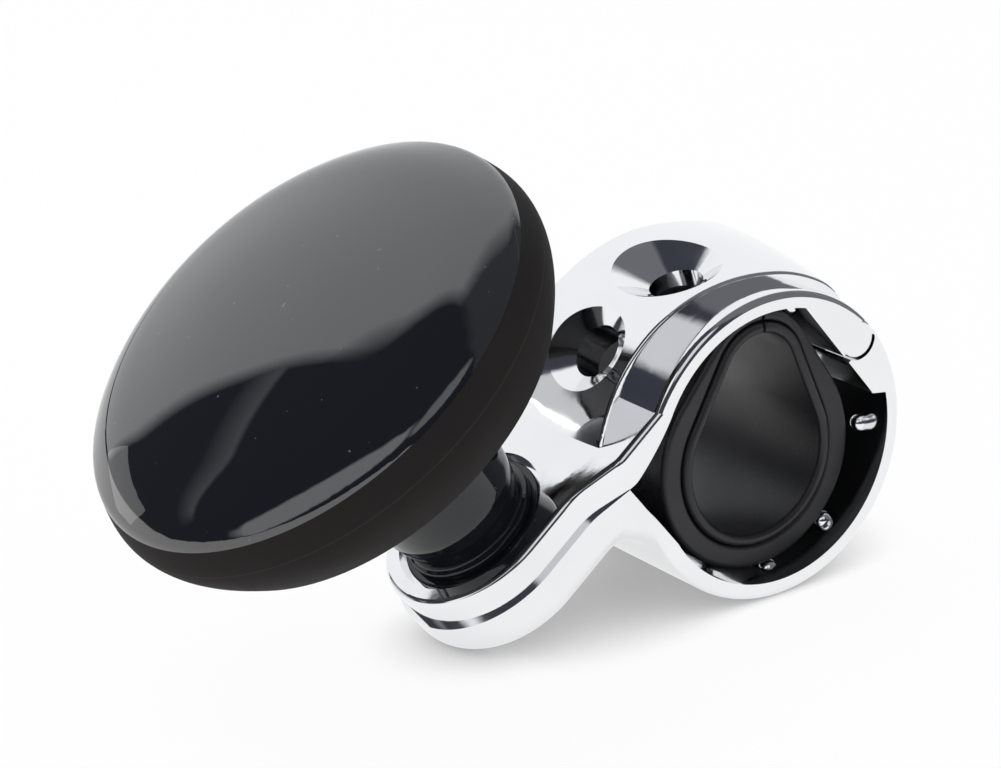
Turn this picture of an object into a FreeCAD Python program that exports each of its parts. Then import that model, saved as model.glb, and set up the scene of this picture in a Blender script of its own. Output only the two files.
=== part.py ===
import FreeCAD, Part
import math
import os

# Steering wheel spinner knob that clamps on the wheel rim.
# Lengths are millimetres and angles are degrees.
# Solids are drawn about the centre of the cast ring and moved on saving,
# so that the origin ends up in the middle of the round part of the rim opening.
# Y runs along the ring, Z along the knob's spindle, and the knob sits on the -X side.

# Cast ring
bore_r = 19.0
ring_half_w = 16.5
ring_r = 21.3
ring_edge_r = 1.1
wall_x = -18.8
flat_x = 15.3
flat_low_z = -7.2
flat_lead_x = 1.8
flat_lead_z = 1.9
wall_room_x = -8.0
flare_mid_x = -14.6
flare_mid_up = 0.65
flare_in_x = -8.5

# Raised band over the top of the ring: how far it stands out from the ring,
# by direction, at its front edge, its middle and its rear edge
band_half_w = 11.7
band_edge_r = 0.45
band_dirs = (-6, 3, 9, 14, 20, 27, 35, 45, 60, 80, 100, 120, 140, 160, 180, 200)
band_front = (-1.2, -0.2, 0.7, 1.2, 1.4, 1.4, 1.4, 1.4, 1.75, 2.7, 3.7, 4.2, 4.1, 3.3, 2.3, 1.5)
band_mid = (-1.2, 0.2, 1.9, 2.9, 3.3, 3.2, 3.0, 2.8, 2.9, 3.4, 4.1, 4.4, 4.2, 3.4, 2.4, 1.5)
band_rear = (-1.2, 0.4, 2.5, 3.6, 4.0, 3.6, 3.1, 2.8, 2.8, 2.9, 3.2, 3.5, 3.5, 3.1, 2.3, 1.5)

# Countersunk windows in the band
window_y = -2.4
window_r = 3.7
window_rim_r = 7.6
window_half_angle = 58.0
window_dirs = (105.0, 67.0)
window_from_r = 14.0
window_depth = 20.0
window_skin_dir = 100
window_skin_fall = 0.055
window_over = 4.0

# Arm
knob_x = -33.54
split_z = 14.46
plate_t = 4.61
arm_r = 13.46
arm_neck_x = -24.6
arm_root_x = -17.6
arm_inner_x = -6.0
arm_blend_r = 8.0
arm_corner_r = 3.0
arm_edge_r = 0.9
under_depth = 7.9
under_grow = 0.7
under_edge_r = 5.0
root_fillet_r = 4.4
root_in_x = -16.0
root_below_split = 2.7
recess_r = 11.0
recess_depth = 1.4

# Hinge opposite the arm
hinge_x = 18.35
hinge_z = 0.9
knuckle_r = 2.65
knuckle_half_w = 4.85
knuckle_edge_r = 0.4
knuckle_gap = 0.15
socket_gap = 0.3
pin_r = 1.25
pin_front_y = -12.0
pin_rear_y = 16.0
pin_edge_r = 0.3
lip_in_drop = 1.39
lip_out_drop = 1.86
swing_room = 60.0
swing_room_w = 3.0
swing_room_from = -60.0

# Rubber liners, an egg shape that narrows away from the arm
eye_dir = 48.0
eye_shift = 2.6
egg_len = 11.5
grip_r = 10.8
grip_small_r = 5.8
inner_t = 1.5
inner_half_w = 12.9
outer_r = 15.6
outer_small_r = 8.9
outer_half_w = 12.5
inner_edge_r = 0.7
outer_edge_r = 0.75
slit_w = 0.5
stud_r = 1.3
stud_h = 2.0
stud_root = 0.8
stud_y = 11.6
stud_dirs_top = (32.0, 64.0, 128.0)
stud_dirs_low = (-45.0, -90.0, -122.0)

# Spindle, neck and screw
spindle_r = 4.0
spindle_top_z = 61.6
head_af = 11.0
head_t = 1.2
head_seat_gap = 0.1
tip_chamfer = 0.8
screw_r = 2.5
screw_head_r = 4.9
screw_reach = 7.6
screw_socket_af = 3.0
screw_socket_depth = 2.0
screw_head_rim = 0.3
screw_hole_gap = 0.25
screw_tip = 0.6
thread_run_out = 2.4
flange_r = 10.3
flange_t = 0.9
flange_edge_r = 0.3
neck_foot_r = 9.4
neck_low_r = 8.7
neck_top_r = 10.3
neck_tip_r = 5.8
neck_foot_h = 1.1
neck_waist_h = 1.5
neck_rise_h = 2.6
neck_flare_h = 6.6
neck_flare_r = 1.0
neck_full_h = 15.0
neck_top_up = 0.6
neck_cone_drop = 1.6
neck_cone_out = 0.8
neck_tip_drop = 1.2

# Ball bearing in the knob
bearing_z = 49.6
bearing_w = 7.0
bearing_r = 11.0
inner_land_r = 6.1
outer_land_r = 8.9
ball_pitch_r = 7.5
ball_r = 1.985
ball_count = 7
ball_gap = 0.03
race_edge_r = 0.3
cage_t = 0.95
cage_half_h = 2.5
pocket_len = 6.0
pocket_from_r = 4.5
clip_t = 1.0
clip_grow = 0.6
clip_in_r = 9.6
clip_mouth = 3.6
washer_r = 6.0
washer_t = 0.8
washer_edge_r = 0.2
nut_af = 13.0
nut_t = 3.4
nut_face_share = 1.02
nut_corner_share = 1.16
nut_bevel_h = 0.6

# Knob shells
knob_r = 33.1
seam_in = 0.9
rim_wall = 2.6
rim_step = 2.0
rim_mid_z = 53.5
seam_z = 57.1
crown_z = 65.2
under_z = 44.9
cap_t = 2.2
cap_foot_drop = 0.4
cap_lean_out = 0.25
cap_lean_in = 0.4
spigot_h = 5.6
base_t = 2.4
base_up = 0.7
base_hole_gap = 0.9
base_edge_r = 0.5
hub_wall = 2.6
hub_lip_t = 0.9
hub_foot = 1.2
hub_foot_r = 1.0
shelf_t = 0.9
shelf_in = 1.4
post_r = 3.4
post_in = 6.1
post_top_drop = 1.6
post_seat_gap = 0.02
post_dirs = (30.0, 150.0, 270.0)
small_screw_r = 1.45
small_head_r = 2.7
small_head_t = 1.5
small_screw_len = 8.0
small_hole_gap = 0.1
small_head_rim = 0.5
small_head_land = 0.7
small_tip_r = 0.5
small_tip_h = 0.8
cross_half = 1.6
cross_half_w = 0.3
rib_count = 6
rib_t = 1.2
rib_h = 2.2
rib_in = 0.4
rib_end_gap = 1.2
rib_sink = 0.3

# Belly of the rim: share of its height and how far it lies inside the full radius
belly_up = (0.0, 0.28, 0.55)
belly_in = (3.9, 2.2, 0.9)
belly_seam_share = 0.35

# Shape of the dome, as shares of its radius and of its height
dome_out = (0.0, 0.373, 0.683, 0.87, 0.963, 1.0)
dome_drop = (0.0, 0.093, 0.327, 0.574, 0.815, 1.0)

# Clearances, and how far a cut runs past its face
fit = 0.02
run_fit = 0.05
past = 1.0

plate_z = split_z + plate_t
recess_z = plate_z - recess_depth
under_low_z = split_z - under_depth
seam_r = knob_r - seam_in
spigot_r = seam_r - rim_wall
rim_in_r = spigot_r - rim_step
post_ring_r = rim_in_r - post_in
spigot_z = seam_z - spigot_h
base_z = under_z + base_up
base_hole_r = neck_top_r + base_hole_gap
hub_r = bearing_r + hub_wall
shelf_r = bearing_r - shelf_in
ux = math.cos(math.radians(eye_dir))
uz = math.sin(math.radians(eye_dir))
eye_x = -eye_shift * ux
eye_z = -eye_shift * uz
tip_x = eye_x + egg_len * ux
tip_z = eye_z + egg_len * uz


def vec(x, y, z):
    return FreeCAD.Vector(x, y, z)


def box(x0, x1, y0, y1, z0, z1):
    return Part.makeBox(x1 - x0, y1 - y0, z1 - z0, vec(x0, y0, z0))


def rod_y(r, y0, y1, x=0.0, z=0.0):
    return Part.makeCylinder(r, y1 - y0, vec(x, y0, z), vec(0, 1, 0))


def rod_z(r, z0, z1, x=knob_x, y=0.0):
    return Part.makeCylinder(r, z1 - z0, vec(x, y, z0), vec(0, 0, 1))


def corner(before, point, after):
    # Start, middle and end of the arc that rounds one corner.
    ax = before[0] - point[0]
    ay = before[1] - point[1]
    bx = after[0] - point[0]
    by = after[1] - point[1]
    la = math.hypot(ax, ay)
    lb = math.hypot(bx, by)
    ax = ax / la
    ay = ay / la
    bx = bx / lb
    by = by / lb
    half = 0.5 * math.acos(max(-1.0, min(1.0, ax * bx + ay * by)))
    reach = point[2] / math.tan(half)
    mx = ax + bx
    my = ay + by
    lm = math.hypot(mx, my)
    mx = mx / lm
    my = my / lm
    depth = point[2] / math.sin(half) - point[2]
    start = (point[0] + ax * reach, point[1] + ay * reach)
    end = (point[0] + bx * reach, point[1] + by * reach)
    middle = (point[0] + mx * depth, point[1] + my * depth)
    return start, middle, end


def outline(points, put):
    # Closed outline through the points; a third value rounds that corner.
    marks = []
    count = len(points)
    for i in range(count):
        p = points[i]
        if len(p) > 2:
            marks.append(corner(points[i - 1], p, points[(i + 1) % count]))
        else:
            marks.append((p, None, p))
    edges = []
    for i in range(count):
        start, middle, end = marks[i]
        if middle is not None:
            edges.append(Part.Arc(put(start), put(middle), put(end)).toShape())
        after = marks[(i + 1) % count][0]
        if math.hypot(after[0] - end[0], after[1] - end[1]) > 0.0001:
            edges.append(Part.makeLine(put(end), put(after)))
    return Part.Wire(edges)


def slab_y(points, y0, y1):
    # Points are (x, z).
    face = Part.Face(outline(points, lambda p: vec(p[0], y0, p[1])))
    return face.extrude(vec(0, y1 - y0, 0))


def slab_z(points, z0, z1):
    # Points are (x, y).
    face = Part.Face(outline(points, lambda p: vec(p[0], p[1], z0)))
    return face.extrude(vec(0, 0, z1 - z0))


def turn_y(points, x=0.0, z=0.0):
    # Points are (radius, y).
    face = Part.Face(outline(points, lambda p: vec(x + p[0], p[1], z)))
    return face.revolve(vec(x, 0, z), vec(0, 1, 0), 360)


def turn_z(points, x=knob_x):
    # Points are (radius, z).
    face = Part.Face(outline(points, lambda p: vec(x + p[0], 0, p[1])))
    return face.revolve(vec(x, 0, 0), vec(0, 0, 1), 360)


def hexagon(af, z0, z1, x=knob_x, y=0.0):
    r = af / math.sqrt(3.0)
    points = []
    for i in range(6):
        a = math.radians(60 * i + 30)
        points.append((x + r * math.cos(a), y + r * math.sin(a)))
    return slab_z(points, z0, z1)


def egg(r_big, r_small, y0, y1):
    # Two circles joined by their outer tangents.
    lean = math.acos((r_big - r_small) / egg_len)
    base = math.radians(eye_dir)
    a0 = base - lean
    a1 = base + lean

    def at(cx, cz, r, a):
        return vec(cx + r * math.cos(a), y0, cz + r * math.sin(a))

    small = Part.Arc(at(tip_x, tip_z, r_small, a0), at(tip_x, tip_z, r_small, base),
                     at(tip_x, tip_z, r_small, a1)).toShape()
    big = Part.Arc(at(eye_x, eye_z, r_big, a1), at(eye_x, eye_z, r_big, base + math.pi),
                   at(eye_x, eye_z, r_big, a0)).toShape()
    left = Part.makeLine(at(tip_x, tip_z, r_small, a1), at(eye_x, eye_z, r_big, a1))
    right = Part.makeLine(at(eye_x, eye_z, r_big, a0), at(tip_x, tip_z, r_small, a0))
    face = Part.Face(Part.Wire([small, left, big, right]))
    return face.extrude(vec(0, y1 - y0, 0))


def egg_reach(direction, r_big, r_small):
    # Distance from the ring centre to the egg outline in one direction.
    dx = math.cos(math.radians(direction))
    dz = math.sin(math.radians(direction))
    best = 0.0
    for i in range(101):
        s = i / 100.0
        cx = eye_x + (tip_x - eye_x) * s
        cz = eye_z + (tip_z - eye_z) * s
        r = r_big + (r_small - r_big) * s
        along = cx * dx + cz * dz
        rest = r * r - (cx * cx + cz * cz - along * along)
        if rest > 0:
            best = max(best, along + math.sqrt(rest))
    return best


def near_plane(shape, axis, value):
    # Edges that lie in one plane square to an axis.
    found = []
    for edge in shape.Edges:
        low = (edge.BoundBox.XMin, edge.BoundBox.YMin, edge.BoundBox.ZMin)[axis]
        high = (edge.BoundBox.XMax, edge.BoundBox.YMax, edge.BoundBox.ZMax)[axis]
        if abs(low - value) < 0.001 and abs(high - value) < 0.001:
            found.append(edge)
    return found


def save(name, shape):
    done = shape.copy()
    done.translate(vec(-eye_x, 0, -eye_z))
    os.makedirs("parts", exist_ok=True)
    done.exportStep("parts/" + name + ".step")


def arm_outline(grow):
    # Plan of the arm: round end under the knob, swept out to the ring's width.
    r = arm_r + grow
    w = ring_half_w
    end_x = knob_x - r
    return [(end_x, -r, r), (arm_neck_x, -r, arm_blend_r), (arm_root_x, -w, arm_corner_r),
            (arm_inner_x, -w), (arm_inner_x, w), (arm_root_x, w, arm_corner_r),
            (arm_neck_x, r, arm_blend_r), (end_x, r, r)]


def stud(direction, y):
    # Domed peg on the bore wall; it reaches the outer liner where that is near.
    tip = max(egg_reach(direction, outer_r, outer_small_r) + run_fit, bore_r - stud_h)
    dx = math.cos(math.radians(direction))
    dz = math.sin(math.radians(direction))
    ball = Part.makeSphere(stud_r, vec((tip + stud_r) * dx, y, (tip + stud_r) * dz))
    length = bore_r + stud_root - tip - stud_r
    if length < 0.05:
        return ball
    peg = Part.makeCylinder(stud_r, length, vec((tip + stud_r) * dx, y, (tip + stud_r) * dz),
                            vec(dx, 0, dz))
    return ball.fuse(peg)


def hinge_sector(r0, r1, a0, a1, y0, y1):
    # Part of a tube about the hinge axis.
    points = [(hinge_x + r0 * math.cos(math.radians(a0)), hinge_z + r0 * math.sin(math.radians(a0)))]
    steps = 16
    for i in range(steps + 1):
        a = math.radians(a0 + (a1 - a0) * i / steps)
        grow = r1 / math.cos(math.radians(0.5 * (a1 - a0) / steps))
        points.append((hinge_x + grow * math.cos(a), hinge_z + grow * math.sin(a)))
    points.append((hinge_x, hinge_z))
    wedge = slab_y(points[1:], y0, y1)
    return wedge.cut(rod_y(r0, y0 - 1, y1 + 1, hinge_x, hinge_z))


# Cast ring, still one full solid disc with rounded outer edges.
w = ring_half_w
ring_disc = turn_y([(0, -w), (ring_r, -w, ring_edge_r), (ring_r, w, ring_edge_r), (0, w)])

# Raised band: three outlines joined by one smooth surface.


def band_section(rises, y):
    spots = []
    for i in range(len(band_dirs)):
        a = math.radians(band_dirs[i])
        r = ring_r + rises[i]
        spots.append(vec(r * math.cos(a), y, r * math.sin(a)))
    curve = Part.BSplineCurve()
    curve.interpolate(spots)
    middle = vec(0, y, 0)
    back = Part.makeLine(spots[-1], middle)
    return Part.Wire([curve.toShape(), back, Part.makeLine(middle, spots[0])])


b = band_half_w
band_disc = Part.makeLoft([band_section(band_front, -b), band_section(band_mid, 0.0),
                           band_section(band_rear, b)], True, False)
band_edges = []
for edge in near_plane(band_disc, 1, -b) + near_plane(band_disc, 1, b):
    if edge.Length > 2.5 * ring_r:
        band_edges.append(edge)
band_disc = band_disc.makeFillet(band_edge_r, band_edges)

# Opening through the ring: round bore, straight wall by the arm, flat by the hinge.
bore = rod_y(bore_r, -w - past, w + past)
flat_foot_z = flat_low_z - flat_lead_z
flat = slab_y([(flat_x, flat_low_z), (flat_x + flat_lead_x, flat_foot_z), (bore_r + past, flat_foot_z),
               (bore_r + past, bore_r), (flat_x, bore_r)], -w - 2 * past, w + 2 * past)
bore = bore.cut(flat)
wall_room = box(wall_x, wall_room_x, -w - past, w + past, 0.0, split_z)
flare_y = -w - past
flare_z = math.sqrt(bore_r ** 2 - flare_in_x ** 2)
flare_arc = Part.Arc(vec(wall_x, flare_y, split_z), vec(flare_mid_x, flare_y, split_z + flare_mid_up),
                     vec(flare_in_x, flare_y, flare_z)).toShape()
flare_line = Part.makeLine(vec(flare_in_x, flare_y, flare_z), vec(flare_in_x, flare_y, split_z))
flare_base = Part.makeLine(vec(flare_in_x, flare_y, split_z), vec(wall_x, flare_y, split_z))
flare = Part.Face(Part.Wire([flare_arc, flare_line, flare_base])).extrude(vec(0, -2 * flare_y, 0))

# Upper half of the arm, a flat plate with a rounded top edge.
plate = slab_z(arm_outline(0.0), split_z, plate_z)
plate_edges = []
for edge in near_plane(plate, 2, plate_z):
    if edge.BoundBox.XMin < arm_inner_x - fit:
        plate_edges.append(edge)
plate = plate.makeFillet(arm_edge_r, plate_edges)

# Upper clamp half, one casting.
far = 80.0
upper_zone = box(-far, 0.0, -far, far, split_z, far).fuse(box(0.0, far, -far, far, hinge_z, far))
upper = ring_disc.fuse(band_disc).common(upper_zone)
upper = upper.fuse(plate)
upper = upper.cut(bore)
upper = upper.cut(flare)
mid_w = knuckle_half_w + knuckle_gap
knuckle_front = turn_y([(0, -w), (knuckle_r, -w, knuckle_edge_r), (knuckle_r, -mid_w), (0, -mid_w)],
                       hinge_x, hinge_z)
knuckle_rear = turn_y([(0, mid_w), (knuckle_r, mid_w), (knuckle_r, w, knuckle_edge_r), (0, w)],
                      hinge_x, hinge_z)
upper = upper.fuse(knuckle_front)
upper = upper.fuse(knuckle_rear)
socket_r = knuckle_r + socket_gap
upper = upper.cut(rod_y(socket_r, -mid_w, mid_w, hinge_x, hinge_z))
lip_angle = -math.degrees(math.asin(lip_out_drop / socket_r)) + swing_room
upper = upper.cut(hinge_sector(knuckle_r, knuckle_r + swing_room_w, swing_room_from, lip_angle,
                               -w - past, w + past))
for direction in window_dirs:
    dx = math.cos(math.radians(direction))
    dz = math.sin(math.radians(direction))
    hole = Part.makeCylinder(window_r, window_depth, vec(window_from_r * dx, window_y, window_from_r * dz),
                             vec(dx, 0, dz))
    skin = ring_r + band_mid[band_dirs.index(window_skin_dir)]
    skin = skin - window_skin_fall * (window_skin_dir - direction)
    spread = math.tan(math.radians(window_half_angle))
    start = skin - (window_rim_r - window_r) / spread
    wide = window_rim_r + window_over * spread
    sink = Part.makeCone(window_r, wide, skin + window_over - start,
                         vec(start * dx, window_y, start * dz), vec(dx, 0, dz))
    upper = upper.cut(hole)
    upper = upper.cut(sink)
upper = upper.cut(rod_z(recess_r, recess_z, plate_z + past))
upper = upper.cut(rod_z(spindle_r + fit, split_z - past, plate_z + past))
upper = upper.cut(hexagon(head_af + 2 * fit, split_z - past, split_z + head_t + fit))
for direction in stud_dirs_top:
    for y in (-stud_y, stud_y):
        upper = upper.fuse(stud(direction, y))
upper = upper.cut(rod_y(pin_r + fit, pin_front_y - fit, w + past, hinge_x, hinge_z))
upper = upper.removeSplitter()
save("upper_clamp_half", upper)

# Lower half of the arm, thicker, with a well rounded lower edge.
under = slab_z(arm_outline(under_grow), under_low_z, split_z)
under_edges = []
for edge in near_plane(under, 2, under_low_z):
    if edge.BoundBox.XMin < arm_inner_x - fit:
        under_edges.append(edge)
under = under.makeFillet(under_edge_r, under_edges)

# Lower clamp half, one casting.
lower_zone = box(-far, 0.0, -far, far, -far, split_z)
lower_zone = lower_zone.fuse(box(0.0, hinge_x, -far, far, -far, hinge_z - lip_in_drop))
lower_zone = lower_zone.fuse(box(hinge_x, far, -far, far, -far, hinge_z - lip_out_drop))
lower = ring_disc.common(lower_zone)
lower = lower.fuse(under)
lower = lower.removeSplitter()

# Rounded root: the edges where the lower arm meets the outside of the ring.
root_edges = []
for edge in lower.Edges:
    off = 0.0
    for point in edge.discretize(5):
        off = max(off, abs(math.hypot(point.x, point.z) - ring_r))
    room = edge.BoundBox
    if off < fit and room.XMax < root_in_x and room.ZMax < split_z - root_below_split:
        root_edges.append(edge)
lower = lower.makeFillet(root_fillet_r, root_edges)
lower = lower.cut(bore)
lower = lower.cut(wall_room)
lower = lower.cut(rod_y(socket_r, -far, -mid_w, hinge_x, hinge_z))
lower = lower.cut(rod_y(socket_r, mid_w, far, hinge_x, hinge_z))
lower = lower.cut(rod_y(socket_r, -mid_w, -knuckle_half_w, hinge_x, hinge_z))
lower = lower.cut(rod_y(socket_r, knuckle_half_w, mid_w, hinge_x, hinge_z))
lower = lower.fuse(rod_y(knuckle_r, -knuckle_half_w, knuckle_half_w, hinge_x, hinge_z))
lower = lower.cut(rod_y(pin_r + run_fit, -w, w, hinge_x, hinge_z))
lower = lower.cut(rod_z(screw_r + screw_hole_gap, under_low_z - past, split_z + past))
sink_h = screw_head_r - screw_r
lower = lower.cut(Part.makeCone(screw_head_r + fit + past, screw_r + fit, sink_h + past,
                                vec(knob_x, 0, under_low_z - past), vec(0, 0, 1)))
for direction in stud_dirs_low:
    for y in (-stud_y, stud_y):
        lower = lower.fuse(stud(direction, y))
lower = lower.removeSplitter()
save("lower_clamp_half", lower)

# Hinge pin, blind at the front.
pin = turn_y([(0, pin_front_y), (pin_r, pin_front_y, pin_edge_r), (pin_r, pin_rear_y, pin_edge_r),
              (0, pin_rear_y)], hinge_x, hinge_z)
save("hinge_pin", pin)

# Countersunk socket screw that closes the clamp from below.
head_out_r = screw_head_r - screw_head_rim
screw_top_z = split_z + screw_reach
shank = turn_z([(0, under_low_z), (head_out_r, under_low_z), (head_out_r, under_low_z + screw_head_rim),
                (screw_r, under_low_z + sink_h), (screw_r, screw_top_z - screw_tip),
                (screw_r - screw_tip, screw_top_z), (0, screw_top_z)])
screw = shank.cut(hexagon(screw_socket_af, under_low_z - past, under_low_z + screw_socket_depth))
save("clamp_screw", screw)

# Spindle: hexagon head under the plate, threaded hole for the clamp screw.
chamfer_z = spindle_top_z - tip_chamfer
head_z = split_z + head_seat_gap
spindle = rod_z(spindle_r, head_z, chamfer_z)
spindle = spindle.fuse(Part.makeCone(spindle_r, spindle_r - tip_chamfer, tip_chamfer,
                                     vec(knob_x, 0, chamfer_z), vec(0, 0, 1)))
spindle = spindle.fuse(hexagon(head_af, head_z, split_z + head_t))
spindle = spindle.cut(rod_z(screw_r + fit, split_z - past, screw_top_z + thread_run_out))
spindle = spindle.removeSplitter()
save("spindle", spindle)

# Dark flange in the recess of the arm.
flange_z = recess_z + flange_t
flange = turn_z([(spindle_r + fit, recess_z), (flange_r, recess_z), (flange_r, flange_z, flange_edge_r),
                 (spindle_r + fit, flange_z)])
save("neck_flange", flange)

# Neck: a spacer tube that widens towards the knob.
neck = turn_z([(spindle_r + fit, flange_z), (neck_foot_r, flange_z, 0.2),
               (neck_foot_r, flange_z + neck_foot_h, 0.4), (neck_low_r, flange_z + neck_waist_h, 0.3),
               (neck_low_r + 0.1, flange_z + neck_rise_h, 3.0),
               (neck_low_r + neck_flare_r, flange_z + neck_flare_h, 6.0),
               (neck_top_r, flange_z + neck_full_h, 20.0), (neck_top_r, base_z + neck_top_up, 0.6),
               (neck_tip_r + neck_cone_out, bearing_z - neck_cone_drop),
               (neck_tip_r, bearing_z - neck_tip_drop), (neck_tip_r, bearing_z),
               (spindle_r + fit, bearing_z)])
save("neck_collar", neck)

# Ball bearing: two races, a cage and seven balls.
mid_z = bearing_z + bearing_w / 2.0
track = Part.makeTorus(ball_pitch_r, ball_r + ball_gap, vec(knob_x, 0, mid_z), vec(0, 0, 1))
top_z = bearing_z + bearing_w
inner_race = turn_z([(spindle_r + fit, bearing_z), (inner_land_r, bearing_z, race_edge_r),
                     (inner_land_r, top_z, race_edge_r), (spindle_r + fit, top_z)])
inner_race = inner_race.cut(track)
save("bearing_inner_race", inner_race)
outer_race = turn_z([(outer_land_r, bearing_z), (bearing_r, bearing_z, race_edge_r),
                     (bearing_r, top_z, race_edge_r), (outer_land_r, top_z)])
outer_race = outer_race.cut(track)
save("bearing_outer_race", outer_race)
cage = turn_z([(ball_pitch_r - cage_t, mid_z - cage_half_h), (ball_pitch_r + cage_t, mid_z - cage_half_h),
               (ball_pitch_r + cage_t, mid_z + cage_half_h), (ball_pitch_r - cage_t, mid_z + cage_half_h)])
balls = []
for i in range(ball_count):
    a = 2 * math.pi * i / ball_count
    at = vec(knob_x + ball_pitch_r * math.cos(a), ball_pitch_r * math.sin(a), mid_z)
    pocket = Part.makeCylinder(ball_r + run_fit, pocket_len, vec(knob_x, 0, mid_z),
                               vec(math.cos(a), math.sin(a), 0))
    pocket.translate(vec(pocket_from_r * math.cos(a), pocket_from_r * math.sin(a), 0))
    cage = cage.cut(pocket)
    balls.append(Part.makeSphere(ball_r, at))
save("bearing_cage", cage)
save("bearing_balls", Part.makeCompound(balls))

# Washer and nut on top of the inner race.
nut_z = top_z + washer_t
washer = turn_z([(spindle_r + fit, top_z), (washer_r, top_z), (washer_r, nut_z, washer_edge_r),
                 (spindle_r + fit, nut_z)])
save("spindle_washer", washer)
nut_face_r = 0.5 * nut_af * nut_face_share
nut_corner_r = 0.5 * nut_af * nut_corner_share
nut = hexagon(nut_af, nut_z, nut_z + nut_t)
nut_cone = turn_z([(0, nut_z), (nut_face_r, nut_z), (nut_corner_r, nut_z + nut_bevel_h),
                   (nut_corner_r, nut_z + nut_t - nut_bevel_h), (nut_face_r, nut_z + nut_t),
                   (0, nut_z + nut_t)])
nut = nut.common(nut_cone).cut(rod_z(spindle_r + fit, nut_z - past, nut_z + nut_t + past))
save("spindle_nut", nut)

# Snap ring over the outer race, open at one side.
clip_z = top_z + fit
clip_out_r = bearing_r + clip_grow
clip = turn_z([(clip_in_r, clip_z), (clip_out_r, clip_z), (clip_out_r, clip_z + clip_t),
               (clip_in_r, clip_z + clip_t)])
clip = clip.cut(box(knob_x, knob_x + 2 * bearing_r, -clip_mouth / 2, clip_mouth / 2,
                    clip_z - past, clip_z + clip_t + past))
save("bearing_circlip", clip)

# Base of the knob with the bearing hub and three screw holes.
clip_top = clip_z + clip_t + fit
hub_top = clip_z + clip_t + hub_lip_t
base_top = base_z + base_t
shelf_z = bearing_z - shelf_t
seat_in_r = bearing_r + fit
groove_r = bearing_r + clip_grow + fit
base = turn_z([(base_hole_r, base_z, base_edge_r), (rim_in_r - run_fit, base_z),
               (rim_in_r - run_fit, base_top), (hub_r + hub_foot, base_top, hub_foot_r), (hub_r, hub_top),
               (seat_in_r, hub_top), (seat_in_r, clip_top), (groove_r, clip_top), (groove_r, clip_z - fit),
               (seat_in_r, clip_z - fit), (seat_in_r, bearing_z), (shelf_r, bearing_z),
               (shelf_r, shelf_z), (base_hole_r, shelf_z)])
for direction in post_dirs:
    px = knob_x + post_ring_r * math.cos(math.radians(direction))
    py = post_ring_r * math.sin(math.radians(direction))
    base = base.cut(rod_z(small_screw_r + small_hole_gap, base_z - past, base_top + past, px, py))
    base = base.cut(rod_z(small_head_r + small_hole_gap, base_z - past, base_z + small_head_t, px, py))
for i in range(rib_count):
    rib = box(hub_r - rib_in, rim_in_r - rib_end_gap, -rib_t / 2, rib_t / 2,
              base_top - rib_sink, base_top + rib_h)
    rib.rotate(vec(0, 0, 0), vec(0, 0, 1), 360.0 * i / rib_count)
    rib.translate(vec(knob_x, 0, 0))
    base = base.fuse(rib)
base = base.removeSplitter()
save("knob_base", base)

# Three screws that hold the base to the cap.
for i in range(len(post_dirs)):
    px = knob_x + post_ring_r * math.cos(math.radians(post_dirs[i]))
    py = post_ring_r * math.sin(math.radians(post_dirs[i]))
    seat_z = base_z + small_head_t
    face_z = base_z + small_hole_gap
    land_z = seat_z - small_head_land
    end_z = seat_z + small_screw_len
    small = turn_z([(0, face_z), (small_head_r - small_head_rim, face_z), (small_head_r, land_z),
                    (small_head_r, seat_z), (small_screw_r, seat_z), (small_screw_r, end_z - small_tip_h),
                    (small_tip_r, end_z), (0, end_z)], 0.0)
    small = small.cut(box(-cross_half, cross_half, -cross_half_w, cross_half_w, base_z, land_z))
    small = small.cut(box(-cross_half_w, cross_half_w, -cross_half, cross_half, base_z, land_z))
    small.translate(vec(px, py, 0))
    save("base_screw_" + str(i + 1), small)

# Soft-touch rim: a curved outer wall over a straight inner one.
belly_h = rim_mid_z - under_z
belly = []
for i in range(len(belly_up)):
    belly.append(vec(knob_x + knob_r - belly_in[i], 0, under_z + belly_up[i] * belly_h))
low = belly[0]
belly.append(vec(knob_x + knob_r, 0, rim_mid_z))
belly.append(vec(knob_x + knob_r - belly_seam_share * seam_in, 0, 0.5 * (rim_mid_z + seam_z)))
belly.append(vec(knob_x + seam_r, 0, seam_z))
curve = Part.BSplineCurve()
curve.interpolate(belly)
seat_r = spigot_r + fit
rim_edges = [curve.toShape(),
             Part.makeLine(vec(knob_x + seam_r, 0, seam_z), vec(knob_x + seat_r, 0, seam_z)),
             Part.makeLine(vec(knob_x + seat_r, 0, seam_z), vec(knob_x + seat_r, 0, spigot_z)),
             Part.makeLine(vec(knob_x + seat_r, 0, spigot_z), vec(knob_x + rim_in_r, 0, spigot_z)),
             Part.makeLine(vec(knob_x + rim_in_r, 0, spigot_z), vec(knob_x + rim_in_r, 0, under_z)),
             Part.makeLine(vec(knob_x + rim_in_r, 0, under_z), low)]
rim = Part.Face(Part.Wire(rim_edges)).revolve(vec(knob_x, 0, 0), vec(0, 0, 1), 360)
save("knob_rim", rim)

# Domed cap with a spigot inside the rim and three screw posts.
cap_z = seam_z + run_fit
skirt_z = spigot_z + run_fit
in_r = spigot_r - cap_t


def dome(radius, top, foot, lean):
    # Profile of a dome from its crown to its edge.
    spots = []
    for i in range(len(dome_out)):
        spots.append(vec(knob_x + radius * dome_out[i], 0, top - (top - foot) * dome_drop[i]))
    shape = Part.BSplineCurve()
    shape.interpolate(Points=spots, InitialTangent=vec(1, 0, 0), FinalTangent=vec(lean, 0, -1))
    return shape.toShape()


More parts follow.
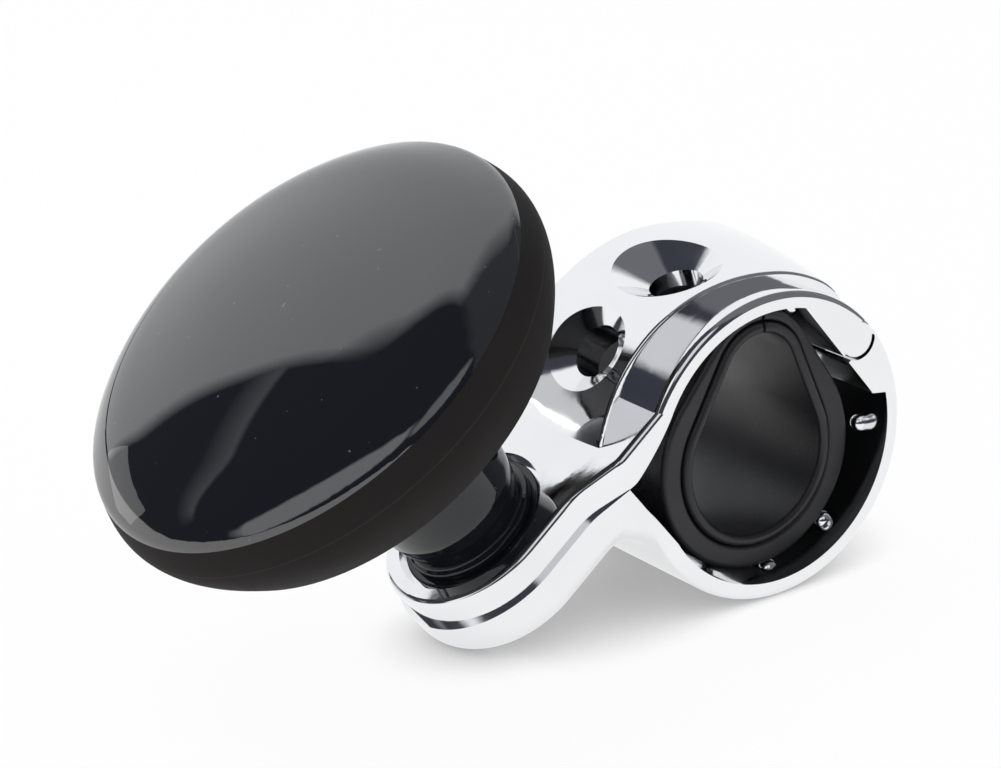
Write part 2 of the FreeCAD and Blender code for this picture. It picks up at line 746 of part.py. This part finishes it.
in_foot = seam_z - cap_foot_drop
cap_edges = [dome(seam_r, crown_z, cap_z, cap_lean_out),
             Part.makeLine(vec(knob_x + seam_r, 0, cap_z), vec(knob_x + spigot_r, 0, cap_z)),
             Part.makeLine(vec(knob_x + spigot_r, 0, cap_z), vec(knob_x + spigot_r, 0, skirt_z)),
             Part.makeLine(vec(knob_x + spigot_r, 0, skirt_z), vec(knob_x + in_r, 0, skirt_z)),
             Part.makeLine(vec(knob_x + in_r, 0, skirt_z), vec(knob_x + in_r, 0, in_foot)),
             dome(in_r, crown_z - cap_t, in_foot, cap_lean_in),
             Part.makeLine(vec(knob_x, 0, crown_z - cap_t), vec(knob_x, 0, crown_z))]
cap = Part.Face(Part.Wire(Part.__sortEdges__(cap_edges))).revolve(vec(knob_x, 0, 0), vec(0, 0, 1), 360)
for direction in post_dirs:
    px = knob_x + post_ring_r * math.cos(math.radians(direction))
    py = post_ring_r * math.sin(math.radians(direction))
    post = rod_z(post_r, base_top + post_seat_gap, crown_z - cap_t - post_top_drop, px, py)
    cap = cap.fuse(post)
    cap = cap.cut(rod_z(small_screw_r + fit, base_top - past, end_z + past, px, py))
cap = cap.removeSplitter()
save("knob_cap", cap)

# Two rubber liners, nested, each slit along its narrow end.
slit = box(0, 2 * bore_r, -bore_r, bore_r, -slit_w / 2, slit_w / 2)
slit.rotate(vec(0, 0, 0), vec(0, 1, 0), -eye_dir)
inner_out_r = grip_r + inner_t
inner_out_small = grip_small_r + inner_t
inner = egg(inner_out_r, inner_out_small, -inner_half_w, inner_half_w)
inner = inner.cut(egg(grip_r, grip_small_r, -inner_half_w - past, inner_half_w + past))
inner_edges = near_plane(inner, 1, -inner_half_w) + near_plane(inner, 1, inner_half_w)
inner = inner.makeFillet(inner_edge_r, inner_edges)
inner = inner.cut(slit)
save("inner_liner", inner)
outer = egg(outer_r, outer_small_r, -outer_half_w, outer_half_w)
outer = outer.cut(egg(inner_out_r + fit, inner_out_small + fit, -outer_half_w - past, outer_half_w + past))
outer_edges = near_plane(outer, 1, -outer_half_w) + near_plane(outer, 1, outer_half_w)
outer = outer.makeFillet(outer_edge_r, outer_edges)
outer = outer.cut(slit)
save("outer_liner", outer)
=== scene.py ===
import bpy
import math
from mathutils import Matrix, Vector


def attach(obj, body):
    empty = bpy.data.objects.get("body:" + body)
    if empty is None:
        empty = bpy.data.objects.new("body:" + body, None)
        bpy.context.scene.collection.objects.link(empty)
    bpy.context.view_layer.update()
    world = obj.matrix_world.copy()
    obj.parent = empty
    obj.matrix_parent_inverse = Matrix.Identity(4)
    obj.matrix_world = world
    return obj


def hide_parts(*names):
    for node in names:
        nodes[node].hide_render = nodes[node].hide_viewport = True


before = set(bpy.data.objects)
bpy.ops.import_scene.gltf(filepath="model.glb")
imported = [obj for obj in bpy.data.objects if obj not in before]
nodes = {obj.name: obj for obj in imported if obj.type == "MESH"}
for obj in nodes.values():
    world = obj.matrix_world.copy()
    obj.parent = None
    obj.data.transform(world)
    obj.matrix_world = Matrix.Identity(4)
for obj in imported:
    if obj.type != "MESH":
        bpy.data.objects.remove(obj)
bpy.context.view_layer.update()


# Clamp halves: two zinc castings, polished and chrome plated.
# They hinge at one side, close over the arm at the other, and carry every other piece.
def dress(material, *names):
    for name in names:
        nodes[name].data.materials[0] = material


def feed(tree, value, socket):
    if isinstance(value, bpy.types.NodeSocket):
        tree.links.new(value, socket)
    elif socket.type == "RGBA":
        socket.default_value = (*value, 1)
    else:
        socket.default_value = value


def blank_material(name, ior):
    material = bpy.data.materials.new(name)
    material.use_nodes = True
    tree = material.node_tree
    tree.nodes.clear()
    output = tree.nodes.new("ShaderNodeOutputMaterial")
    shader = tree.nodes.new("ShaderNodeBsdfPrincipled")
    shader.inputs["IOR"].default_value = ior
    place = tree.nodes.new("ShaderNodeTexCoord").outputs["Object"]
    tree.links.new(shader.outputs["BSDF"], output.inputs["Surface"])
    return material, tree, shader, place


def new_group(name, inputs, outputs):
    group = bpy.data.node_groups.new(name, "ShaderNodeTree")
    group.interface.new_socket("Vector", in_out="INPUT", socket_type="NodeSocketVector")
    for label in inputs:
        group.interface.new_socket(label, in_out="INPUT", socket_type="NodeSocketFloat")
    for label in outputs:
        group.interface.new_socket(label, in_out="OUTPUT", socket_type="NodeSocketFloat")
    return group, group.nodes.new("NodeGroupInput").outputs, group.nodes.new("NodeGroupOutput").inputs


def add_group(tree, group, place, values):
    node = tree.nodes.new("ShaderNodeGroup")
    node.node_tree = group
    feed(tree, place, node.inputs["Vector"])
    for name, value in values.items():
        feed(tree, value, node.inputs[name])
    return node.outputs


def noise(tree, place, scale, detail):
    node = tree.nodes.new("ShaderNodeTexNoise")
    feed(tree, place, node.inputs["Vector"])
    feed(tree, scale, node.inputs["Scale"])
    feed(tree, detail, node.inputs["Detail"])
    return node.outputs["Fac"]


def math_node(tree, operation, first, second):
    node = tree.nodes.new("ShaderNodeMath")
    node.operation = operation
    feed(tree, first, node.inputs[0])
    feed(tree, second, node.inputs[1])
    return node.outputs[0]


def spread(tree, value, low, high, to_low, to_high):
    node = tree.nodes.new("ShaderNodeMapRange")
    feed(tree, value, node.inputs["Value"])
    feed(tree, low, node.inputs["From Min"])
    feed(tree, high, node.inputs["From Max"])
    feed(tree, to_low, node.inputs["To Min"])
    feed(tree, to_high, node.inputs["To Max"])
    return node.outputs["Result"]


def blend(tree, share, first, second):
    node = tree.nodes.new("ShaderNodeMix")
    node.data_type = "RGBA"
    feed(tree, share, node.inputs["Factor"])
    feed(tree, first, node.inputs["A"])
    feed(tree, second, node.inputs["B"])
    return node.outputs["Result"]


def finish_with(tree, shader, colour, effect, bump_height):
    bump = tree.nodes.new("ShaderNodeBump")
    bump.inputs["Distance"].default_value = bump_height
    feed(tree, effect["Height"], bump.inputs["Height"])
    feed(tree, bump.outputs["Normal"], shader.inputs["Normal"])
    feed(tree, effect["Roughness"], shader.inputs["Roughness"])
    feed(tree, colour, shader.inputs["Base Color"])


# Polishing leaves slow waves, a faint peel and hazy patches on plated, turned and lacquered pieces.
peel_scale = 900.0
peel_share = 0.03
haze_scale = 140.0
haze_low = 0.35
haze_high = 0.7
polish_group, ins, outs = new_group("polish", ("Wave Scale", "Clean", "Hazy"), ("Roughness", "Height"))
wave = noise(polish_group, ins["Vector"], ins["Wave Scale"], detail=2.0)
peel = noise(polish_group, ins["Vector"], peel_scale, detail=1.0)
haze = noise(polish_group, ins["Vector"], haze_scale, detail=4.0)
peel_part = math_node(polish_group, "MULTIPLY", peel, peel_share)
surface = math_node(polish_group, "ADD", wave, peel_part)
gloss = spread(polish_group, haze, haze_low, haze_high, ins["Clean"], ins["Hazy"])
feed(polish_group, surface, outs["Height"])
feed(polish_group, gloss, outs["Roughness"])


def metal(name, colour, wave_scale, clean, hazy, wave_height):
    tint_scale = 60.0
    tint_depth = 0.9
    material, tree, shader, place = blank_material(name, ior=1.5)
    shader.inputs["Metallic"].default_value = 1.0
    polish = add_group(tree, polish_group, place, {"Wave Scale": wave_scale, "Clean": clean, "Hazy": hazy})
    deeper = [tint_depth * part for part in colour]
    tint = blend(tree, noise(tree, place, tint_scale, detail=3.0), colour, deeper)
    finish_with(tree, shader, tint, polish, wave_height)
    return material


chrome = metal("bright_chrome", (0.90, 0.905, 0.92),
               wave_scale=90.0, clean=0.03, hazy=0.14, wave_height=0.00012)
dress(chrome, "upper_clamp_half", "lower_clamp_half")

# Hinge pin: a ground steel pin, pressed into the upper half from the rear.
# The lower half's knuckle turns on it.
ground_steel = metal("ground_steel", (0.56, 0.55, 0.54),
                     wave_scale=600.0, clean=0.18, hazy=0.32, wave_height=0.00002)
dress(ground_steel, "hinge_pin")

# Liners: two nested sleeves of moulded rubber, slit along their narrow end.
# They grip the wheel's rim and keep the castings off it.
patch_scale = 70.0
patch_low = 0.3
patch_high = 0.7
grain_group, ins, outs = new_group("moulded_grain", ("Grain Scale", "Smooth", "Dull"),
                                   ("Roughness", "Height", "Patch"))
cells = grain_group.nodes.new("ShaderNodeTexVoronoi")
cells.feature = "SMOOTH_F1"
feed(grain_group, ins["Vector"], cells.inputs["Vector"])
feed(grain_group, ins["Grain Scale"], cells.inputs["Scale"])
fine = noise(grain_group, ins["Vector"], ins["Grain Scale"], detail=4.0)
patch = noise(grain_group, ins["Vector"], patch_scale, detail=5.0)
grain = math_node(grain_group, "ADD", cells.outputs["Distance"], fine)
dulling = spread(grain_group, patch, patch_low, patch_high, ins["Smooth"], ins["Dull"])
feed(grain_group, grain, outs["Height"])
feed(grain_group, patch, outs["Patch"])
feed(grain_group, dulling, outs["Roughness"])


def moulded(name, colour, worn, grain_scale, smooth, dull, grain_height, ior=1.5):
    material, tree, shader, place = blank_material(name, ior)
    skin = add_group(tree, grain_group, place, {"Grain Scale": grain_scale, "Smooth": smooth, "Dull": dull})
    tint = blend(tree, skin["Patch"], colour, worn)
    finish_with(tree, shader, tint, skin, grain_height)
    return material


black_rubber = moulded("black_rubber", (0.008, 0.008, 0.0105), worn=(0.013, 0.013, 0.016),
                       grain_scale=2600.0, smooth=0.38, dull=0.5, grain_height=0.000012)
dress(black_rubber, "inner_liner", "outer_liner")

# Spindle: a turned steel bolt whose hexagon head sits under the upper half.
# Its hollow foot takes the clamp screw, and the knob turns about its upper end.
plated_steel = metal("zinc_plated_steel", (0.62, 0.63, 0.62),
                     wave_scale=500.0, clean=0.16, hazy=0.34, wave_height=0.00002)
dress(plated_steel, "spindle")


# Neck: a turned spacer and its flange, both in glossy black.
# The neck stands in the recess of the arm and carries the bearing's inner race.
def lacquer(name, colour, clean, hazy, ripple, ior=1.5):
    wave_scale = 120.0
    dust_scale = 1500.0
    dust_from = 0.865
    dust_full = 0.88
    dust_grey = (0.1, 0.1, 0.1)
    material, tree, shader, place = blank_material(name, ior)
    polish = add_group(tree, polish_group, place, {"Wave Scale": wave_scale, "Clean": clean, "Hazy": hazy})
    specks = noise(tree, place, dust_scale, detail=0.0)
    dust = spread(tree, specks, dust_from, dust_full, 0.0, 1.0)
    tint = blend(tree, dust, colour, dust_grey)
    finish_with(tree, shader, tint, polish, ripple)
    return material


neck_black = lacquer("neck_black", (0.008, 0.009, 0.012), clean=0.03, hazy=0.06, ripple=0.00001)
dress(neck_black, "neck_collar", "neck_flange")

# Ball bearing: two ground races, a moulded cage and seven balls.
# The neck carries its inner race, and the hub of the knob's base holds the outer one.
bearing_steel = metal("bearing_steel", (0.66, 0.66, 0.67),
                      wave_scale=700.0, clean=0.08, hazy=0.16, wave_height=0.00001)
dress(bearing_steel, "bearing_inner_race", "bearing_outer_race", "bearing_balls")
cage_resin = moulded("cage_resin", (0.16, 0.1, 0.05), worn=(0.2, 0.13, 0.07),
                     grain_scale=1800.0, smooth=0.4, dull=0.55, grain_height=0.00001)
dress(cage_resin, "bearing_cage")

# Washer, nut and snap ring: they hold the bearing on the spindle and in the base.
# The washer and the nut are zinc plated like the spindle, and the snap ring is blackened steel.
dark_steel = metal("blackened_steel", (0.09, 0.09, 0.095),
                   wave_scale=500.0, clean=0.26, hazy=0.42, wave_height=0.00002)
dress(plated_steel, "spindle_washer", "spindle_nut")
dress(dark_steel, "bearing_circlip")

# Base of the knob: a ribbed moulding in matt black nylon, whose hub holds the bearing.
# Three blackened screws hold it to the posts of the cap.
base_nylon = moulded("base_nylon", (0.02, 0.02, 0.021), worn=(0.03, 0.03, 0.031),
                     grain_scale=2200.0, smooth=0.45, dull=0.6, grain_height=0.00002)
dress(base_nylon, "knob_base")
dress(dark_steel, "base_screw_1", "base_screw_2", "base_screw_3")

# Rim of the knob: a ring moulded in soft-touch rubberised plastic, which the fingers hold.
# The paler line around it is where the two halves of its mould met.
mould_line_z = 0.0552
mould_line_half = 0.00004
mould_line_faded = 0.00012
mould_line_grey = (0.03, 0.027, 0.026)
soft_touch = moulded("soft_touch", (0.014, 0.012, 0.0115), worn=(0.021, 0.0185, 0.0175),
                     grain_scale=3200.0, smooth=0.62, dull=0.75, grain_height=0.00001, ior=1.2)
tree = soft_touch.node_tree
rim_colour = tree.nodes["Principled BSDF"].inputs["Base Color"]
height = tree.nodes.new("ShaderNodeSeparateXYZ")
feed(tree, tree.nodes["Texture Coordinate"].outputs["Object"], height.inputs["Vector"])
above_line = math_node(tree, "SUBTRACT", height.outputs["Z"], mould_line_z)
off_line = math_node(tree, "ABSOLUTE", above_line, 0.0)
line = spread(tree, off_line, mould_line_half, mould_line_faded, 1.0, 0.0)
feed(tree, blend(tree, line, rim_colour.links[0].from_socket, mould_line_grey), rim_colour)
dress(soft_touch, "knob_rim")

# Cap of the knob: a domed moulding in piano black.
# Its spigot drops into the rim, and its posts take the base screws.
piano_black = lacquer("piano_black", (0.006, 0.0065, 0.009),
                      clean=0.01, hazy=0.03, ripple=0.0000012, ior=2.0)
dress(piano_black, "knob_cap")


# Clamp screw: a countersunk M5 socket screw in blackened steel, with a rolled thread.
# It comes up through the lower half into the spindle and closes the clamp.
def turned(name, profile, closed, steps, turns, pitch):
    seed_size = 0.002
    weld = 0.000001
    bpy.ops.object.select_all(action="DESELECT")
    bpy.ops.mesh.primitive_plane_add(size=seed_size)
    piece = bpy.context.active_object
    piece.name = name
    bpy.ops.object.mode_set(mode="EDIT")
    bpy.ops.mesh.select_all(action="SELECT")
    bpy.ops.mesh.merge(type="CENTER")
    bpy.ops.transform.translate(value=(profile[0][0], 0, profile[0][1]))
    for (from_r, from_z), (to_r, to_z) in zip(profile, profile[1:]):
        step = (to_r - from_r, 0, to_z - from_z)
        bpy.ops.mesh.extrude_region_move(TRANSFORM_OT_translate={"value": step})
    if closed:
        bpy.ops.mesh.select_all(action="SELECT")
        bpy.ops.mesh.edge_face_add()
        bpy.ops.mesh.delete(type="ONLY_FACE")
    bpy.ops.object.mode_set(mode="OBJECT")
    turn = piece.modifiers.new("turn", "SCREW")
    turn.axis = "Z"
    turn.steps = steps
    turn.render_steps = steps
    turn.iterations = turns
    turn.screw_offset = pitch
    turn.use_merge_vertices = True
    turn.merge_threshold = weld
    bpy.ops.object.modifier_apply(modifier=turn.name)
    return piece


knob_x = -0.0318
screw_low = 0.00849
screw_top = 0.02399
screw_r = 0.0025
screw_core_r = 0.00202
screw_head_r = 0.0046
head_edge = 0.0003
head_length = 0.0024
shank_end = 0.0031
core_start = 0.0036
tip_bevel = 0.0003
socket_af = 0.003
socket_depth = 0.002
thread_start = 0.004
thread_pitch = 0.0008
thread_turns = 13
ridge_sink = 0.0001
ridge_clearance = 0.00002
ridge_foot_half = 0.00036
ridge_crest_half = 0.00006
crease = math.radians(30)
screw_profile = (
    (0, screw_low),
    (screw_head_r, screw_low),
    (screw_head_r, screw_low + head_edge),
    (screw_r, screw_low + head_length),
    (screw_r, screw_low + shank_end),
    (screw_core_r, screw_low + core_start),
    (screw_core_r, screw_top - tip_bevel),
    (screw_core_r - tip_bevel, screw_top),
    (0, screw_top))
thread_low = screw_low + thread_start
ridge_foot_r = screw_core_r - ridge_sink
ridge_crest_r = screw_r - ridge_clearance
ridge_profile = (
    (ridge_foot_r, thread_low - ridge_foot_half),
    (ridge_crest_r, thread_low - ridge_crest_half),
    (ridge_crest_r, thread_low + ridge_crest_half),
    (ridge_foot_r, thread_low + ridge_foot_half))

dress(dark_steel, "clamp_screw")
screw = turned("threaded_screw", screw_profile, closed=False, steps=48, turns=1, pitch=0)
bpy.ops.mesh.primitive_cylinder_add(vertices=6, radius=socket_af / math.sqrt(3), depth=2 * socket_depth,
                                    location=(0, 0, screw_low))
socket = bpy.context.active_object
bpy.ops.object.select_all(action="DESELECT")
screw.select_set(True)
bpy.context.view_layer.objects.active = screw
cut = screw.modifiers.new("socket", "BOOLEAN")
cut.object = socket
bpy.ops.object.modifier_apply(modifier=cut.name)
bpy.data.objects.remove(socket)
turned("thread", ridge_profile, closed=True, steps=32, turns=thread_turns, pitch=thread_pitch)
bpy.ops.object.mode_set(mode="EDIT")
bpy.ops.mesh.select_all(action="DESELECT")
bpy.ops.mesh.select_non_manifold()
bpy.ops.mesh.edge_face_add()
bpy.ops.object.mode_set(mode="OBJECT")
screw.select_set(True)
bpy.context.view_layer.objects.active = screw
bpy.ops.object.join()
bpy.ops.object.mode_set(mode="EDIT")
bpy.ops.mesh.select_all(action="SELECT")
bpy.ops.mesh.normals_make_consistent(inside=False)
bpy.ops.object.mode_set(mode="OBJECT")
screw.location.x = knob_x
bpy.ops.object.transform_apply(location=True, rotation=True, scale=True)
bpy.ops.object.shade_smooth_by_angle(angle=crease)
screw.data.materials.append(dark_steel)
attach(screw, "screw")
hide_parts("clamp_screw")

# Floor: a white sheet that the clamp's ring and the arm's lower end rest on.
# The camera sees only its contact shadow, painted from ambient occlusion, on the white room behind it, so
# that the sheet hides no opened half.
# Polished metal mirrors it as a glowing sheet, no lamp, with painted shade that makes it darker near the
# object, and its glow ends far behind it.
floor_tilt = math.radians(36.8)
floor_drop = 0.01872
floor_half = 2.5
floor_glow = 0.95
contact_reach = 0.022
contact_open = 0.7
contact_seen = 0.33
contact_mirrored = 0.8
sheet_white = (0.88, 0.88, 0.88)
sheet_edge_way = (-0.80, 0.71, 0.60)
sheet_edge_from = 0.75
sheet_edge_to = 0.9
sheet_edge_dark = 0.05


# How far a vector reaches along a direction, turned into a brightness.
def facing(tree, vector, way, low, high, to_low, to_high):
    node = tree.nodes.new("ShaderNodeVectorMath")
    node.operation = "DOT_PRODUCT"
    node.inputs[1].default_value = way
    feed(tree, vector, node.inputs[0])
    return spread(tree, node.outputs["Value"], low, high, to_low, to_high)


def either(tree, share, first, second):
    node = tree.nodes.new("ShaderNodeMixShader")
    feed(tree, share, node.inputs["Fac"])
    feed(tree, first, node.inputs[1])
    feed(tree, second, node.inputs[2])
    return node.outputs["Shader"]


floor_normal = Vector((math.sin(floor_tilt), 0, math.cos(floor_tilt)))
bpy.ops.object.select_all(action="DESELECT")
bpy.ops.mesh.primitive_plane_add(size=2 * floor_half, location=-floor_drop * floor_normal,
                                 rotation=(0, floor_tilt, 0))
floor = bpy.context.active_object
floor.name = "floor"
bpy.ops.object.transform_apply(location=True, rotation=True, scale=True)
sheet = bpy.data.materials.new("white_sheet")
sheet.use_nodes = True
tree = sheet.node_tree
tree.nodes.clear()
output = tree.nodes.new("ShaderNodeOutputMaterial")
path = tree.nodes.new("ShaderNodeLightPath").outputs
place = tree.nodes.new("ShaderNodeTexCoord").outputs["Object"]
underside = tree.nodes.new("ShaderNodeNewGeometry").outputs["Backfacing"]
# Painted contact shadow: ambient occlusion darkens the sheet wherever the object stands close over it.
contact = tree.nodes.new("ShaderNodeAmbientOcclusion")
contact.inputs["Distance"].default_value = contact_reach
deepest = spread(tree, path["Is Camera Ray"], 0.0, 1.0, contact_mirrored, contact_seen)
shadow = spread(tree, contact.outputs["AO"], 0.0, contact_open, deepest, 1.0)
# Painted end of the mirrored glow: it fades to dark along a line far behind the object.
sheet_end = facing(tree, place, sheet_edge_way, sheet_edge_from, sheet_edge_to, 1.0, sheet_edge_dark)
# The painted glow that mirrors see, with the painted contact shadow in it.
mirrored_glow = tree.nodes.new("ShaderNodeEmission")
feed(tree, math_node(tree, "MULTIPLY", shadow, sheet_end), mirrored_glow.inputs["Strength"])
# What the camera sees: the white room behind, tinted by the painted contact shadow.
veil = tree.nodes.new("ShaderNodeBsdfTransparent")
feed(tree, shadow, veil.inputs["Color"])
paper = tree.nodes.new("ShaderNodeBsdfDiffuse")
feed(tree, sheet_white, paper.inputs["Color"])
clear = tree.nodes.new("ShaderNodeBsdfTransparent")
shown = either(tree, path["Is Camera Ray"], mirrored_glow.outputs["Emission"], veil.outputs["BSDF"])
veiled = math_node(tree, "MULTIPLY", path["Is Camera Ray"], floor_glow)
unlit = math_node(tree, "MAXIMUM", veiled, path["Is Glossy Ray"])
# Camera rays see mostly the painted shadow, mirrors see only the painted glow, and other rays see the
# lamp-lit paper.
lit_and_painted = either(tree, unlit, paper.outputs["BSDF"], shown)
feed(tree, either(tree, underside, lit_and_painted, clear.outputs["BSDF"]), output.inputs["Surface"])
floor.data.materials.append(sheet)

# Studio: polished metal mirrors a dark room with a lit wall, a panel, a window and a beam.
# The camera sees plain white, and an even grey sky lights everything else.
room_dark = (0.045, 0.048, 0.062)
room_light = (0.97, 0.985, 1.0)
plain_white = (1, 1, 1)
sky_grey = (0.80, 0.81, 0.83)
sky_strength = 1.05
wall_way = (0.90, 0.36, -0.25)
ceiling_way = (0, 0, 1)
corner_way = (-0.26, 0.97, 0)
panel_way = (0.226, -0.696, 0.682)
window_way = (0.631, 0.717, 0.295)
window_end_way = (-0.478, -0.229, 0.848)
beam_way = (-0.005, -0.755, 0.655)

world = bpy.data.worlds.new("studio")
bpy.context.scene.world = world
world.use_nodes = True
tree = world.node_tree
tree.nodes.clear()
output = tree.nodes.new("ShaderNodeOutputWorld")
view = tree.nodes.new("ShaderNodeTexCoord").outputs["Generated"]
path = tree.nodes.new("ShaderNodeLightPath").outputs


# Each part of the room fades in or out between two cosines of the angle from a direction.
def fade(way, start, end, before=0.0, after=1.0):
    return facing(tree, view, way, start, end, before, after)


def product(whole, *parts):
    for part in parts:
        whole = math_node(tree, "MULTIPLY", whole, part)
    return whole


wall = product(fade(wall_way, start=0.105, end=0.15),
               fade(ceiling_way, start=0.815, end=0.86, before=1.0, after=0.0),
               fade(corner_way, start=-0.06, end=0.1, before=0.12))
beam = product(fade(beam_way, start=-0.10, end=0.0, after=0.3),
               fade(beam_way, start=0.0, end=0.02, before=1.0, after=0.0),
               fade(wall_way, start=-0.5, end=-0.4))
panel = fade(panel_way, start=0.945, end=0.97, after=0.75)
window = product(fade(window_way, start=-0.04, end=-0.01, before=1.1, after=0.0),
                 fade(window_way, start=-0.42, end=-0.3),
                 fade(window_end_way, start=0.82, end=0.88))
lights = wall
for light in (beam, panel, window):
    lights = math_node(tree, "MAXIMUM", lights, light)
plain = math_node(tree, "MAXIMUM", path["Is Camera Ray"], path["Is Transmission Ray"])
room = tree.nodes.new("ShaderNodeBackground")
room_colour = blend(tree, lights, room_dark, room_light)
feed(tree, blend(tree, plain, room_colour, plain_white), room.inputs["Color"])
sky = tree.nodes.new("ShaderNodeBackground")
feed(tree, sky_grey, sky.inputs["Color"])
feed(tree, sky_strength, sky.inputs["Strength"])
seen = math_node(tree, "MAXIMUM", plain, path["Is Glossy Ray"])
surroundings = either(tree, seen, sky.outputs["Background"], room.outputs["Background"])
feed(tree, surroundings, output.inputs["Surface"])


# A large soft lamp that metal doesn't mirror, and a small lit card that it does.
def softbox(name, spot, target, size, power, mirrored_too):
    bpy.ops.object.light_add(type="AREA", location=spot)
    lamp = bpy.context.active_object
    lamp.name = name
    lamp.rotation_euler = (Vector(target) - Vector(spot)).to_track_quat("-Z", "Y").to_euler()
    lamp.data.shape = "RECTANGLE"
    lamp.data.size = size[0]
    lamp.data.size_y = size[1]
    lamp.data.energy = power
    lamp.visible_glossy = mirrored_too


softbox("key_light", spot=(0.20, 0.35, 0.75), target=(0, 0, 0), size=(0.6, 0.6), power=2.0,
        mirrored_too=False)
softbox("card_light", spot=(-0.131, 0.199, 0.117), target=(-0.012, 0, 0.023), size=(0.09, 0.065),
        power=0.0105, mirrored_too=True)

# Camera: stands where the photograph was taken from, on the knob's side and above.
# A long lens and the photograph's own frame.
camera_spot = (-0.10762, -0.35676, 0.29715)
camera_turn = [math.radians(angle) for angle in (45.984, 32.596, -41.836)]
bpy.ops.object.camera_add(location=camera_spot, rotation=camera_turn)
camera = bpy.context.active_object
camera.name = "camera"
camera.data.sensor_width = 36.0
camera.data.lens = 125.87
camera.data.clip_start = 0.01
bpy.context.scene.camera = camera
bpy.context.scene.view_settings.view_transform = "Standard"
